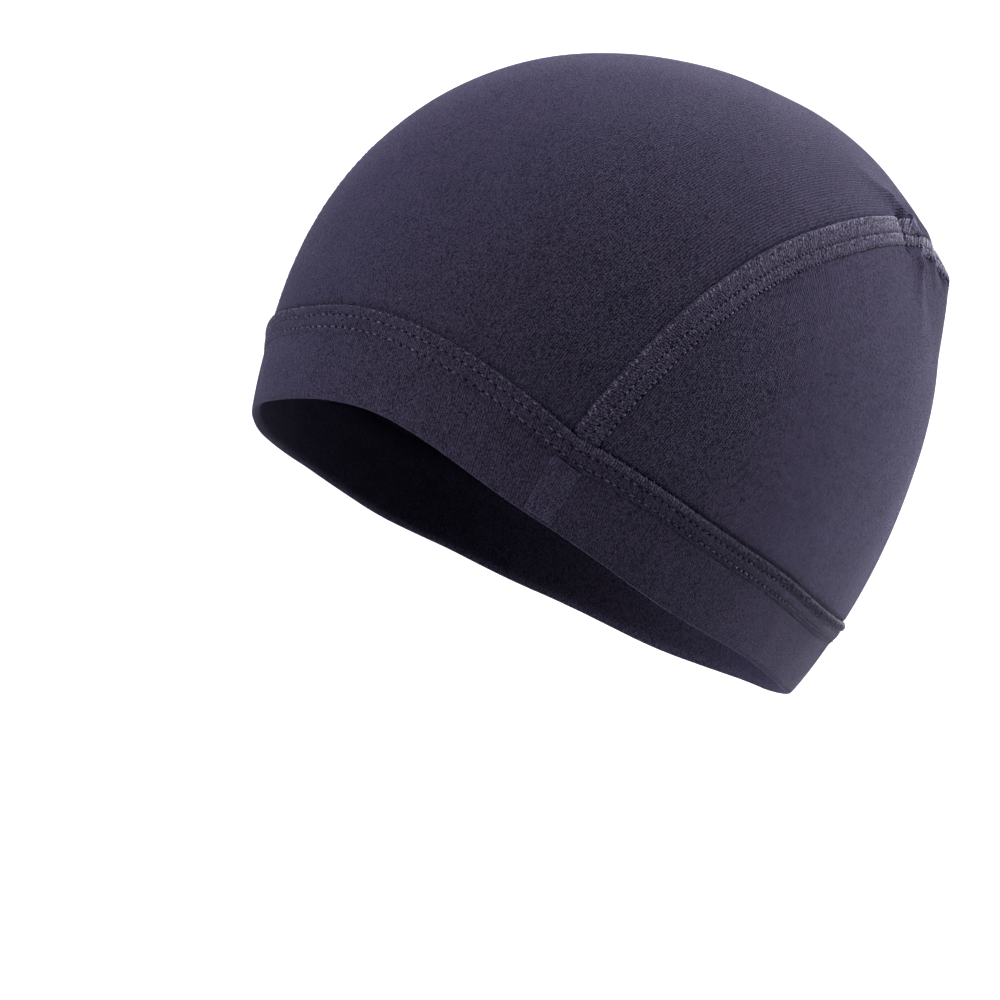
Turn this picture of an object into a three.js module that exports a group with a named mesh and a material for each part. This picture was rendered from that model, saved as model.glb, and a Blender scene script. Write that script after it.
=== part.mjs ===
// Stretch jersey wig cap, as worn: a centre panel from forehead to nape, two side panels,
// raised seam strips between them and a stitched band round the rim.
// Millimetres, +Z up. The forehead faces -Y and the wearer's left is +X.
// The origin is the inside of the crown, where a head bears.
import * as THREE from "three";

// Driving dimensions of the outer face, measured from the head's centre
const dome = {
  halfWidth: 71,
  front: 96,
  back: 101.5,
  above: 83,
  below: 112,
  power: 2.2, // 2 would be an ellipsoid
  lean: 0.012, // backwards, for each mm of height
};
const cloth = { panel: 1.0, strip: 1.9, stripProud: 0.6, band: 2.0, welt: 2.9, weltProud: 1.0 };
const bandHeight = 22; // rim to the top of the welt
const weltHeight = 6.4;
const stripWidth = 7.5;
const gap = 0.3; // between neighbouring pieces
const rimTilt = 0.05; // the wearer's right side sits lower, for each mm across
const headCentre = new THREE.Vector3(0, -dome.lean * dome.above, cloth.panel - dome.above);

// Height of the rim against the head's centre, by turn from the forehead in degrees
const rimTable = [
  { turn: 0, height: 0 },
  { turn: 25, height: -11.5 },
  { turn: 50, height: -29 },
  { turn: 75, height: -42.5 },
  { turn: 100, height: -55 },
  { turn: 125, height: -65 },
  { turn: 150, height: -74.5 },
  { turn: 180, height: -80 },
];

// Distance of the seams on the wearer's left and right from the middle, by angle over the crown
// in degrees: 0 is the forehead, 90 the top, 180 the back of the head. The cap is worn turned
// a little, so that the right seam comes down further round the forehead.
const seamTable = [
  { over: -12, left: 37.5, right: 56 },
  { over: 7, left: 42.3, right: 58 },
  { over: 24, left: 47.3, right: 57.6 },
  { over: 45, left: 51, right: 54.6 },
  { over: 72, left: 52.7, right: 53 },
  { over: 100, left: 51.3, right: 51.3 },
  { over: 122, left: 48.6, right: 48.6 },
  { over: 138, left: 48.8, right: 48.8 },
  { over: 165, left: 47.5, right: 47.5 },
  { over: 195, left: 43.5, right: 43.5 },
  { over: 225, left: 38, right: 38 },
];

// Corners that the stiff seams pull out of the cloth behind the crown, one on each side
const corner = { over: 138, across: 50.5, proud: 4.2, reach: 21 };

// Creases round each corner: ridges between two points, given over the crown and across
const creaseTable = [
  { name: "above the seam", over: 109, across: 35, toOver: 119.4, toAcross: 44.6, height: 1.3, width: 3.6 },
  { name: "across the seam", over: 119.4, across: 44.6, toOver: 125.8, toAcross: 49.4, height: 1.5, width: 3.4 },
  { name: "below the seam", over: 125.8, across: 49.4, toOver: 124.4, toAcross: 58.6, height: 1.2, width: 3.8 },
];

// Mesh steps
const overStep = 4.9; // degrees along the panels
const fineStep = 3.1; // degrees where the creases are
const fineFrom = 104;
const fineTo = 150;
const centreColumns = 16;
const sideRows = 11;
const bandSteps = 84;

const degrees = THREE.MathUtils.degToRad;

// A smooth curve through the rows of a table, with slopes from the neighbouring rows.
function curveThrough(rows, inKey, outKey, levelEnds = false) {
  const slope = (i) => {
    if (levelEnds && (i === 0 || i === rows.length - 1)) return 0;
    const a = rows[Math.max(i - 1, 0)];
    const b = rows[Math.min(i + 1, rows.length - 1)];
    return (b[outKey] - a[outKey]) / (b[inKey] - a[inKey]);
  };
  return (value) => {
    let i = 0;
    while (i < rows.length - 2 && value > rows[i + 1][inKey]) i += 1;
    const a = rows[i];
    const b = rows[i + 1];
    const span = b[inKey] - a[inKey];
    const t = THREE.MathUtils.clamp((value - a[inKey]) / span, 0, 1);
    const s = 1 - t;
    return (
      a[outKey] * s * s * (1 + 2 * t) +
      b[outKey] * t * t * (3 - 2 * t) +
      slope(i) * span * t * s * s -
      slope(i + 1) * span * s * t * t
    );
  };
}

const rimCurve = curveThrough(rimTable, "turn", "height", true);
const leftSeam = curveThrough(seamTable, "over", "left");
const rightSeam = curveThrough(seamTable, "over", "right");

function rimHeight(turn) {
  const sideways = dome.halfWidth * Math.sin(degrees(turn));
  return rimCurve(Math.abs(turn)) + rimTilt * sideways;
}

const weltTop = (turn) => rimHeight(turn) + bandHeight;
const weltFoot = (turn) => rimHeight(turn) + bandHeight - weltHeight;

// Turn from the forehead of a point that is given from the head's centre, positive to the wearer's left.
function turnOf(point) {
  return THREE.MathUtils.radToDeg(Math.atan2(point.x, dome.lean * point.z - point.y));
}

// How far out a point lies, as a share of the dome's own radius in that direction.
function domeShare({ x, y, z }) {
  const straight = y - dome.lean * z;
  const depth = straight < 0 ? dome.front : dome.back;
  const rise = z > 0 ? dome.above : dome.below;
  const sum =
    Math.abs(x / dome.halfWidth) ** dome.power +
    Math.abs(straight / depth) ** dome.power +
    Math.abs(z / rise) ** dome.power;
  return sum ** (1 / dome.power);
}

// The point of the dome in the direction of any other point.
function ontoDome(point) {
  return point.clone().divideScalar(domeShare(point));
}

// A point of the dome at an angle over the crown and a distance across from the middle.
function overCrown(over, across) {
  const forward = Math.cos(degrees(over));
  const up = Math.sin(degrees(over));
  const left = 1 - Math.abs(across / dome.halfWidth) ** dome.power;
  const unit = domeShare({ x: 0, y: -forward + dome.lean * up, z: up });
  const reach = left ** (1 / dome.power) / unit;
  return new THREE.Vector3(across, reach * (dome.lean * up - forward), reach * up);
}

// A point of the dome at a turn from the forehead and a height from the head's centre.
function roundHead(turn, height) {
  const rise = height > 0 ? dome.above : dome.below;
  const left = 1 - Math.abs(height / rise) ** dome.power;
  const unit = domeShare({ x: Math.sin(degrees(turn)), y: -Math.cos(degrees(turn)), z: 0 });
  const reach = left ** (1 / dome.power) / unit;
  return new THREE.Vector3(
    reach * Math.sin(degrees(turn)),
    dome.lean * height - reach * Math.cos(degrees(turn)),
    height,
  );
}

// The dome's outward direction at a point.
function outward({ x, y, z }) {
  const straight = y - dome.lean * z;
  const depth = straight < 0 ? dome.front : dome.back;
  const rise = z > 0 ? dome.above : dome.below;
  const pull = (value, half) =>
    (Math.sign(value) * Math.abs(value / half) ** (dome.power - 1)) / half;
  const back = pull(straight, depth);
  return new THREE.Vector3(pull(x, dome.halfWidth), back, pull(z, rise) - dome.lean * back).normalize();
}

// How far a crease or a pulled corner lifts the cloth at a point; both sides of the cap are alike.
const cornerPoint = overCrown(corner.over, corner.across);
const creases = creaseTable.map((row) => ({
  ...row,
  line: new THREE.Line3(overCrown(row.over, row.across), overCrown(row.toOver, row.toAcross)),
}));

function relief(point) {
  const onLeft = new THREE.Vector3(Math.abs(point.x), point.y, point.z);
  const near = Math.max(0, 1 - onLeft.distanceTo(cornerPoint) / corner.reach);
  const nearest = new THREE.Vector3();
  const ridges = creases.map(({ line, height, width }) => {
    line.closestPointToPoint(onLeft, true, nearest);
    return height * Math.exp(-((nearest.distanceTo(onLeft) / width) ** 2));
  });
  return Math.max(corner.proud * near ** 1.4, ...ridges);
}

// A point on the cloth: so far out from the dome, in the part's own frame.
function onCloth(point, out) {
  return point
    .clone()
    .addScaledVector(outward(point), out + relief(point))
    .add(headCentre);
}

// How far across a line lies that runs beside the seam of one side, 1 for the wearer's left and
// -1 for the right; the offset is measured along the cloth, positive towards the side panel.
function besideSeam(side, over, offset) {
  const across = side > 0 ? leftSeam(over) : -rightSeam(over);
  const stretch = overCrown(over, across + 0.5).distanceTo(overCrown(over, across - 0.5));
  return across + (side * offset) / stretch;
}

// The angle over the crown where a line across the panel comes down to a height round the head.
function overAtHeight(acrossAt, heightAt, front) {
  let low = front ? -40 : 150;
  let high = front ? 60 : 250;
  for (let i = 0; i < 40; i += 1) {
    const over = (low + high) / 2;
    const point = overCrown(over, acrossAt(over));
    const isAbove = point.z > heightAt(turnOf(point));
    if (isAbove === front) high = over;
    else low = over;
  }
  return (low + high) / 2;
}

// Shares from 0 to 1 along a panel, closer together where the creases are.
function sharesAlong(from, to) {
  const stations = [from];
  while (stations.at(-1) < to) {
    const here = stations.at(-1);
    stations.push(here + (here > fineFrom && here < fineTo ? fineStep : overStep));
  }
  const length = stations.at(-1) - from;
  return stations.map((over) => (over - from) / length);
}

const blend = THREE.MathUtils.lerp;

// A closed solid through sections, each a loop of outer points followed by as many inner points.
function solidThrough(sections, isRing = false) {
  const count = sections[0].length;
  const faces = [];
  const quad = (a, b, c, d) => faces.push(a, b, c, a, c, d);
  const rows = isRing ? sections.length : sections.length - 1;
  for (let i = 0; i < rows; i += 1) {
    const here = i * count;
    const next = ((i + 1) % sections.length) * count;
    for (let k = 0; k < count; k += 1) {
      const l = (k + 1) % count;
      quad(here + k, here + l, next + l, next + k);
    }
  }
  if (!isRing) {
    const last = (sections.length - 1) * count;
    for (let k = 0; k < count / 2 - 1; k += 1) {
      const back = count - 1 - k;
      quad(k, back, back - 1, k + 1);
      quad(last + k, last + k + 1, last + back - 1, last + back);
    }
  }
  const geometry = new THREE.BufferGeometry().setFromPoints(sections.flat());
  geometry.setIndex(faces);
  geometry.computeVertexNormals();
  return geometry;
}

// One section of cloth: points of the dome, lifted to the outer face and then, going back, the inner one.
function section(points, outer, inner) {
  const outside = points.map((point, k) => onCloth(point, outer[k]));
  const inside = points.map((point, k) => onCloth(point, inner[k]));
  return [...outside, ...inside.reverse()];
}

const same = (points, value) => points.map(() => value);

// The centre panel, from the welt on the forehead over the crown to the welt at the nape
function centrePanel() {
  const edge = (side, over) => besideSeam(side, over, -stripWidth / 2 - gap);
  const columns = Array.from({ length: centreColumns + 1 }, (_, j) => {
    const share = (2 * j) / centreColumns - 1;
    const spread = share * (1.15 - 0.15 * share * share); // closer together at the seams
    const acrossAt = (over) => blend(edge(-1, over), edge(1, over), (1 + spread) / 2);
    const top = (turn) => weltTop(turn) + gap;
    return {
      acrossAt,
      from: overAtHeight(acrossAt, top, true),
      to: overAtHeight(acrossAt, top, false),
    };
  });
  const sections = sharesAlong(columns[0].from, columns[0].to).map((share) => {
    const points = columns.map(({ acrossAt, from, to }) => {
      const over = blend(from, to, share);
      return overCrown(over, acrossAt(over));
    });
    return section(points, same(points, 0), same(points, -cloth.panel));
  });
  return solidThrough(sections);
}

// A side panel, between a seam and the welt; it runs to a blunt point at the forehead and at the nape
function sidePanel(side) {
  const edge = (over) => besideSeam(side, over, stripWidth / 2 + gap);
  const top = (turn) => weltTop(turn) + gap;
  const from = overAtHeight(edge, top, true);
  const to = overAtHeight(edge, top, false);
  const turnFrom = turnOf(overCrown(from, edge(from)));
  const turnTo = turnOf(overCrown(to, edge(to)));
  const blunt = 0.006; // share of the length left off each point
  const sections = sharesAlong(from, to).map((along) => {
    const share = blend(blunt, 1 - blunt, along);
    const over = blend(from, to, share);
    const upper = overCrown(over, edge(over));
    const turn = blend(turnFrom, turnTo, share);
    const lower = roundHead(turn, top(turn));
    const points = Array.from({ length: sideRows + 1 }, (_, k) =>
      ontoDome(upper.clone().lerp(lower, k / sideRows)),
    );
    if (side < 0) points.reverse();
    return section(points, same(points, 0), same(points, -cloth.panel));
  });
  return solidThrough(sections);
}

// A raised seam strip between the centre panel and a side panel
function seamStrip(side) {
  const top = (turn) => weltTop(turn) + gap;
  const offsets = [-stripWidth / 2, 0, stripWidth / 2];
  const lines = offsets.map((offset) => {
    const acrossAt = (over) => besideSeam(side, over, offset);
    return {
      acrossAt,
      from: overAtHeight(acrossAt, top, true),
      to: overAtHeight(acrossAt, top, false),
    };
  });
  if (side < 0) lines.reverse();
  const edgeProud = cloth.stripProud - 0.25;
  const outer = [edgeProud, cloth.stripProud, edgeProud];
  const sections = sharesAlong(lines[1].from, lines[1].to).map((share) => {
    const points = lines.map(({ acrossAt, from, to }) => {
      const over = blend(from, to, share);
      return overCrown(over, acrossAt(over));
    });
    return section(points, outer, same(points, cloth.stripProud - cloth.strip));
  });
  return solidThrough(sections);
}

// A closed loop round the rim; the rows give heights above the rim and how far out both faces lie
function rimLoop(rows) {
  const sections = Array.from({ length: bandSteps }, (_, i) => {
    const turn = 180 - (360 * i) / bandSteps;
    const points = rows.map((row) => roundHead(turn, rimHeight(turn) + row.height));
    return section(
      points,
      rows.map((row) => row.outer),
      rows.map((row) => row.inner),
    );
  });
  return solidThrough(sections, true);
}

// The plain turned-up hem below the welt, with a rounded fold at the rim
function rimBand() {
  const round = 0.5;
  return rimLoop([
    { height: 0, outer: -round, inner: round - cloth.band },
    { height: 1.5, outer: 0, inner: -cloth.band },
    { height: bandHeight - weltHeight - gap, outer: 0, inner: -cloth.band },
  ]);
}

// The raised welt over the hem's raw edge, where the stitching runs
function bandWelt() {
  const inner = cloth.weltProud - cloth.welt;
  return rimLoop([
    { height: bandHeight - weltHeight, outer: 0.1, inner },
    { height: bandHeight - 1.6, outer: cloth.weltProud, inner },
    { height: bandHeight, outer: 0.3, inner },
  ]);
}

// The short stretch of a seam that shows on the band, laid on the band's outer face
function bandSeam(side, front) {
  const thickness = 0.6;
  const steps = 3;
  const clear = 0.8; // it stops this far above the rim's fold
  const offsets = [-stripWidth / 2, 0, stripWidth / 2];
  const lines = offsets.map((offset) => {
    const acrossAt = (over) => besideSeam(side, over, offset);
    return {
      acrossAt,
      low: overAtHeight(acrossAt, (turn) => rimHeight(turn) + clear, front),
      high: overAtHeight(acrossAt, (turn) => weltFoot(turn) - gap, front),
    };
  });
  if (side < 0 === front) lines.reverse();
  const sections = Array.from({ length: steps + 1 }, (_, i) => {
    const points = lines.map(({ acrossAt, low, high }) => {
      const over = blend(low, high, i / steps);
      return overCrown(over, acrossAt(over));
    });
    return section(points, same(points, gap + thickness), same(points, gap));
  });
  return solidThrough(sections);
}

// Colours of the cloth: charcoal jersey with a violet cast
const jersey = { color: 0x2b2838, roughness: 0.82, metalness: 0 };
const overlock = { color: 0x3a3648, roughness: 0.88, metalness: 0 };
const hem = { color: 0x262332, roughness: 0.82, metalness: 0 };

function piece(name, geometry, finish) {
  const mesh = new THREE.Mesh(geometry, new THREE.MeshStandardMaterial(finish));
  mesh.name = name;
  return mesh;
}

const cap = new THREE.Group();
cap.add(piece("centre_panel", centrePanel(), jersey));
for (const [label, side] of [
  ["left", 1],
  ["right", -1],
]) {
  cap.add(piece(`side_panel_${label}`, sidePanel(side), jersey));
  cap.add(piece(`seam_strip_${label}`, seamStrip(side), overlock));
  cap.add(piece(`band_seam_front_${label}`, bandSeam(side, true), overlock));
  cap.add(piece(`band_seam_back_${label}`, bandSeam(side, false), overlock));
}
cap.add(piece("band_welt", bandWelt(), hem));
cap.add(piece("rim_band", rimBand(), hem));

export default cap;
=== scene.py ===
import bmesh
import bpy
import numpy as np
from mathutils import Matrix, Vector


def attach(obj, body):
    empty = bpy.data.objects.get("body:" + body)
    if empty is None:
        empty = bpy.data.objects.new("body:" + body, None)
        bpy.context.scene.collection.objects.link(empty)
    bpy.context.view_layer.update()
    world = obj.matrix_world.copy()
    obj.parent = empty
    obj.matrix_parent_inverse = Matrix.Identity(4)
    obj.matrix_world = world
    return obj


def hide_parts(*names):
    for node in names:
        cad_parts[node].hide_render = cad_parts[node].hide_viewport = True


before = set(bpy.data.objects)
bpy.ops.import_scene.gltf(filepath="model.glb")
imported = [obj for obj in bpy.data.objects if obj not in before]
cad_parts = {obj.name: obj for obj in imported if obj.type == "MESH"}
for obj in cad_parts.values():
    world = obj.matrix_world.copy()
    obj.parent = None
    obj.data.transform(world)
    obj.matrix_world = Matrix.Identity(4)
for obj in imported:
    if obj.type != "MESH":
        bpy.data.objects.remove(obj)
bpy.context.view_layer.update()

print("frame: 11 cloth solids loaded")

# Sizes are in mm here and become metres when a mesh is made.
# The dome is the cap's outer face, measured from its own centre.
dome = {
    "halfWidth": 71.0,
    "front": 96.0,
    "back": 101.5,
    "above": 83.0,
    "below": 112.0,
    "power": 2.2,  # 2 would be an ellipsoid
    "lean": 0.012,  # backwards, for each mm of height
}
cloth = {"panel": 1.0, "band": 2.0, "waves": 0.12}
rim = {
    "bandHeight": 22.0,
    "weltHeight": 6.4,
    "tilt": 0.05,
    "panelGap": 0.1,
    "evenUpTo": 8.0,  # below this the hem doesn't follow the welt's unevenness
}
weltFoot = rim["bandHeight"] - rim["weltHeight"]
stripWidth = 7.5
narrowing = {"most": 0.85, "from": 35, "to": 8}  # of the strip, above the forehead
domeCentre = np.array([0.0, -dome["lean"] * dome["above"], cloth["panel"] - dome["above"]])

# height of the rim, by turn from the forehead in degrees
rimTable = {
    "turn": [0, 25, 50, 75, 100, 125, 150, 180],
    "height": [0, -11.5, -29, -42.5, -55, -65, -74.5, -80],
}

# distance of the seams from the middle, by angle over the crown
seamTable = {
    "over": [-12, 7, 24, 45, 72, 100, 122, 138, 165, 195, 225],
    "left": [37.5, 42.3, 47.3, 51, 52.7, 51.3, 48.6, 48.8, 47.5, 43.5, 38],
    "right": [56, 58, 57.6, 54.6, 53, 51.3, 48.6, 48.8, 47.5, 43.5, 38],
}

# corner that the stiff seam pulls out behind the crown, on each side
corner = {
    "over": 138,
    "across": 50.5,
    "proud": 4.2,
    "reach": 21,
    "sharpness": 1.4,
    "seamFlatter": 0.85,  # share of the seam's relief that goes where the cloth is tight
    "tightFrom": (100, 118),
    "tightUpTo": (160, 146),
    "fineRows": (104, 146),
}

# The ridge that runs over the seam before the corner: a broad crease with a sharper fold on
# top. Widths are those of the stretch up to the next row.
ridgeTable = [
    {"over": 103, "across": 40, "broad": 0.3, "width": 3.2, "fine": 0.0, "fineWidth": 1.3},
    {"over": 111.6, "across": 43.3, "broad": 0.9, "width": 3.2, "fine": 0.4, "fineWidth": 1.3},
    {"over": 119.5, "across": 45.8, "broad": 1.3, "width": 3.2, "fine": 0.45, "fineWidth": 1.3},
    {"over": 122.3, "across": 48.8, "broad": 1.4, "width": 3.2, "fine": 0.45, "fineWidth": 1.3},
    {"over": 120.5, "across": 54, "broad": 1.1, "width": 3.6, "fine": 0.4, "fineWidth": 1.6},
    {"over": 121.9, "across": 59.5, "broad": 0.3, "fine": 0.05},
]

# swells that lead to the corner; each rises or fades from its first point to its second
swellTable = [
    {"over": [112, 125], "across": [18, 36], "height": [0.3, 1.1], "width": 9.0},
    {"over": [125, 134], "across": [36, 45], "height": [1.1, 2.4], "width": 8.0},
]

# small folds round the corner; a negative height is a groove
foldTable = [
    {"over": [114.0, 115.2], "across": [46.4, 52.4], "height": [-0.95, -1.05], "width": 1.6},
    {"over": [108.5, 113.5], "across": [44.4, 47.0], "height": [-0.15, -0.5], "width": 2.2},
    {"over": [131.5, 129.4], "across": [43.5, 50.5], "height": [0.3, 0.45], "width": 1.8},
    {"over": [129.4, 130.9], "across": [50.5, 53.5], "height": [0.45, 0.2], "width": 1.8},
    {"over": [132.2, 134.6], "across": [51.0, 52.2], "height": [-0.5, -0.7], "width": 1.8},
]


def stretchesOf(heightKey, widthKey):
    return [
        {
            "over": [row["over"], after["over"]],
            "across": [row["across"], after["across"]],
            "height": [row[heightKey], after[heightKey]],
            "width": row[widthKey],
        }
        for row, after in zip(ridgeTable, ridgeTable[1:])
    ]


creases = stretchesOf("broad", "width") + swellTable
folds = stretchesOf("fine", "fineWidth") + foldTable


def curveThrough(table, inKey, outKey, levelEnds=False):
    x, y = np.array(table[inKey], float), np.array(table[outKey], float)
    before = np.r_[0, np.arange(len(x) - 1)]
    after = np.r_[np.arange(1, len(x)), len(x) - 1]
    slope = (y[after] - y[before]) / (x[after] - x[before])
    if levelEnds:
        slope[[0, -1]] = 0

    def curve(value):
        value = np.clip(value, x[0], x[-1])
        i = np.clip(np.searchsorted(x, value) - 1, 0, len(x) - 2)
        span = x[i + 1] - x[i]
        t = (value - x[i]) / span
        s = 1 - t
        start = y[i] * s * s * (1 + 2 * t) + slope[i] * span * t * s * s
        return start + y[i + 1] * t * t * (3 - 2 * t) - slope[i + 1] * span * s * t * t

    return curve


rimCurve = curveThrough(rimTable, "turn", "height", levelEnds=True)
leftSeam = curveThrough(seamTable, "over", "left")
rightSeam = curveThrough(seamTable, "over", "right")


def rimHeight(turn):
    return rimCurve(np.abs(turn)) + rim["tilt"] * dome["halfWidth"] * np.sin(np.radians(turn))


def quarterOf(p):
    # y with the lean taken out, and the half depth and half height on that side
    straight = p[..., 1] - dome["lean"] * p[..., 2]
    depth = np.where(straight < 0, dome["front"], dome["back"])
    return straight, depth, np.where(p[..., 2] > 0, dome["above"], dome["below"])


def domeShare(p):
    # 1 on the dome, less inside it
    straight, depth, rise = quarterOf(p)
    power = dome["power"]
    total = np.abs(p[..., 0] / dome["halfWidth"]) ** power
    total = total + np.abs(straight / depth) ** power + np.abs(p[..., 2] / rise) ** power
    return total ** (1 / power)


def ontoDome(p):
    return p / domeShare(p)[..., None]


def turnOf(p):
    return np.degrees(np.arctan2(p[..., 0], dome["lean"] * p[..., 2] - p[..., 1]))


def overCrown(over, across):
    over, across = np.broadcast_arrays(np.radians(over), np.asarray(across, float))
    forward, up = np.cos(over), np.sin(over)
    left = 1 - np.abs(across / dome["halfWidth"]) ** dome["power"]
    back = dome["lean"] * up - forward
    unit = domeShare(np.stack([0 * up, back, up], -1))
    reach = left ** (1 / dome["power"]) / unit
    return np.stack([across, reach * back, reach * up], -1)


def roundDome(turn, height):
    turn, height = np.broadcast_arrays(np.radians(turn), np.asarray(height, float))
    rise = np.where(height > 0, dome["above"], dome["below"])
    left = 1 - np.abs(height / rise) ** dome["power"]
    unit = domeShare(np.stack([np.sin(turn), -np.cos(turn), 0 * turn], -1))
    reach = left ** (1 / dome["power"]) / unit
    back = dome["lean"] * height - reach * np.cos(turn)
    return np.stack([reach * np.sin(turn), back, height], -1)


def outward(p):
    straight, depth, rise = quarterOf(p)

    def pull(value, half):
        return np.sign(value) * np.abs(value / half) ** (dome["power"] - 1) / half

    back = pull(straight, depth)
    up = pull(p[..., 2], rise) - dome["lean"] * back
    normal = np.stack([pull(p[..., 0], dome["halfWidth"]), back, up], -1)
    return normal / np.linalg.norm(normal, axis=-1, keepdims=True)


def foldLift(p, row):
    start, end = overCrown(row["over"], row["across"])
    along = end - start
    t = np.clip(((p - start) @ along) / (along @ along), 0, 1)
    away = np.linalg.norm(p - (start + t[..., None] * along), axis=-1)
    height = row["height"][0] + (row["height"][1] - row["height"][0]) * t
    return height * np.exp(-(away / row["width"]) ** 2)


def softWaves(p):
    # the slight unevenness of stretched jersey
    x, y, z = p[..., 0], p[..., 1], p[..., 2]
    waves = np.sin(0.11 * x + 0.07 * y + 1.3) * np.cos(0.09 * z - 0.05 * y)
    return waves + 0.6 * np.sin(0.21 * y - 0.13 * z + 0.4) * np.cos(0.17 * x + 2.0)


def relief(p):
    onLeft = np.stack([np.abs(p[..., 0]), p[..., 1], p[..., 2]], -1)
    cornerPoint = overCrown(corner["over"], corner["across"])
    near = np.maximum(0, 1 - np.linalg.norm(onLeft - cornerPoint, axis=-1) / corner["reach"])
    lift = corner["proud"] * near ** corner["sharpness"]
    for row in creases:
        lift = np.maximum(lift, foldLift(onLeft, row))
    for row in folds:
        lift = lift + foldLift(onLeft, row)
    return lift + cloth["waves"] * softWaves(p)


def onCloth(p, out):
    return p + outward(p) * (out + relief(p))[..., None] + domeCentre


def besideSeam(side, offset):
    # a line over the crown; the offset goes along the cloth, positive towards the side panel
    def acrossAt(over):
        across = leftSeam(over) if side > 0 else -rightSeam(over)
        oneAcross = overCrown(over, across + 0.5) - overCrown(over, across - 0.5)
        distance = offset(over) if callable(offset) else offset
        return across + side * distance / np.linalg.norm(oneAcross, axis=-1)

    return acrossAt


def upperHalf(over):
    share = (narrowing["from"] - over) / (narrowing["from"] - narrowing["to"])
    return stripWidth / 2 - narrowing["most"] * np.clip(share, 0, 1)


def softStep(value, start, end):
    t = np.clip((value - start) / (end - start), 0, 1)
    return t * t * (3 - 2 * t)


def seamDepth(over):
    tight = softStep(over, *corner["tightFrom"]) * softStep(over, *corner["tightUpTo"])
    return 1 - corner["seamFlatter"] * tight


overRange = {"front": (-40.0, 60.0), "back": (150.0, 250.0), "halvings": 36}


def overAtHeight(acrossAt, heightAt, front, shape):
    # the angle where a line over the crown comes down to a height, by halving
    low, high = (np.full(shape, end) for end in overRange["front" if front else "back"])
    for _ in range(overRange["halvings"]):
        over = (low + high) / 2
        p = overCrown(over, acrossAt(over))
        takeHigh = (p[..., 2] > heightAt(turnOf(p))) == front
        high = np.where(takeHigh, over, high)
        low = np.where(takeHigh, low, over)
    return (low + high) / 2


# the welt isn't quite parallel to the rim, and dips where it crosses the seam
weltShiftTable = {
    "turn": [-90, -40, -12, -4, 2, 8, 13, 21, 26, 28.5, 31, 36, 42, 50, 60, 72, 90],
    "up": [0, 0.2, 0.2, -0.45, -0.7, -0.2, 0.3, 0.2, -0.7]
    + [-0.85, -0.2, 0.45, 1.1, 1.25, 0.85, 0.4, 0],
}
weltShift = curveThrough(weltShiftTable, "turn", "up", levelEnds=True)


def bandPoint(turn, height):
    # a point of the dome, so far above the rim
    share = np.clip((height - rim["evenUpTo"]) / (weltFoot - rim["evenUpTo"]), 0, 1)
    return roundDome(turn, rimHeight(turn) + height + weltShift(turn) * share)


def panelFoot(turn):
    return rimHeight(turn) + weltShift(turn) + rim["bandHeight"] + rim["panelGap"]


def panelEnds(acrossAt, shape):
    # where lines over the crown meet the foot of the panels, at the front and at the back
    return [overAtHeight(acrossAt, panelFoot, front, shape) for front in (True, False)]


# lengths over the crown and round the head in mm, which the weave and the stitches go by
def lengthsAlong(line):
    return np.r_[0, np.cumsum(np.linalg.norm(np.diff(line, axis=0), axis=1))]


crownAngles = np.linspace(-45, 250, 1200)
crownArc = lengthsAlong(overCrown(crownAngles, 0))
ringAngles = np.linspace(-180, 180, 1441)
ringArc = lengthsAlong(roundDome(ringAngles, -30))


def crownLength(over):
    return np.interp(over, crownAngles, crownArc)


def overAtLength(length):
    return np.interp(length, crownArc, crownAngles)


def ringLength(turn):
    return np.interp(turn, ringAngles, ringArc)


def turnAtLength(length):
    return np.interp(length, ringArc, ringAngles)


def stations(start, end, steps):
    # shares of the way over the crown, closer together round the corner
    fineFrom, fineTo = corner["fineRows"]
    found = [start]
    while found[-1] < end:
        isFine = fineFrom < found[-1] < fineTo
        found.append(found[-1] + steps["fineStep" if isFine else "rowStep"])
    found = np.array(found)
    return (found - start) / (found[-1] - start)


def addToScene(name, data):
    thing = bpy.data.objects.new(name, data)
    bpy.context.scene.collection.objects.link(thing)
    return thing


def finishPiece(mesh, material, node=None):
    piece = addToScene(mesh.name, mesh)
    mesh.materials.append(material)
    mesh.shade_smooth()
    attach(piece, "root")
    if node:
        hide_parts(node)
    return piece


def faceOutward(mesh):
    work = bmesh.new()
    work.from_mesh(mesh)
    bmesh.ops.recalc_face_normals(work, faces=work.faces)
    if work.calc_volume(signed=True) < 0:
        bmesh.ops.reverse_faces(work, faces=work.faces)
    work.to_mesh(mesh)
    work.free()


# A closed solid through loops of points, which are rows x points x 3. The weave has one more
# point in each loop, and in a ring one more row.
def clothThrough(name, loops, weave, isRing=False):
    rows, count = loops.shape[:2]
    i = np.arange(rows if isRing else rows - 1)[:, None]
    k = np.arange(count)[None, :]
    nextRow, nextPoint = (i + 1) % rows, (k + 1) % count
    here, there = i * count, nextRow * count
    quads = np.stack([here + k, here + nextPoint, there + nextPoint, there + k], -1).reshape(-1, 4)
    corners = np.stack([weave[i, k], weave[i, k + 1], weave[i + 1, k + 1], weave[i + 1, k]], 2)
    corners = corners.reshape(-1, 2)
    if not isRing:
        k = np.arange(count // 2 - 1)
        for row, flip in ((0, False), (rows - 1, True)):
            cap = np.stack([k, count - 1 - k, count - 2 - k, k + 1], -1)
            cap = cap[:, ::-1] if flip else cap
            quads = np.vstack([quads, row * count + cap])
            corners = np.vstack([corners, weave[row][cap].reshape(-1, 2)])
    mesh = bpy.data.meshes.new(name)
    mesh.from_pydata((loops.reshape(-1, 3) / 1000).tolist(), [], quads.tolist())
    layer = mesh.uv_layers.new(name="weave")
    layer.data.foreach_set("uv", corners.astype(np.float32).ravel())
    faceOutward(mesh)
    return mesh


def draw(random, least, most, count):
    # one number for each thread
    return random.uniform(least, most, count)[:, None]


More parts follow.
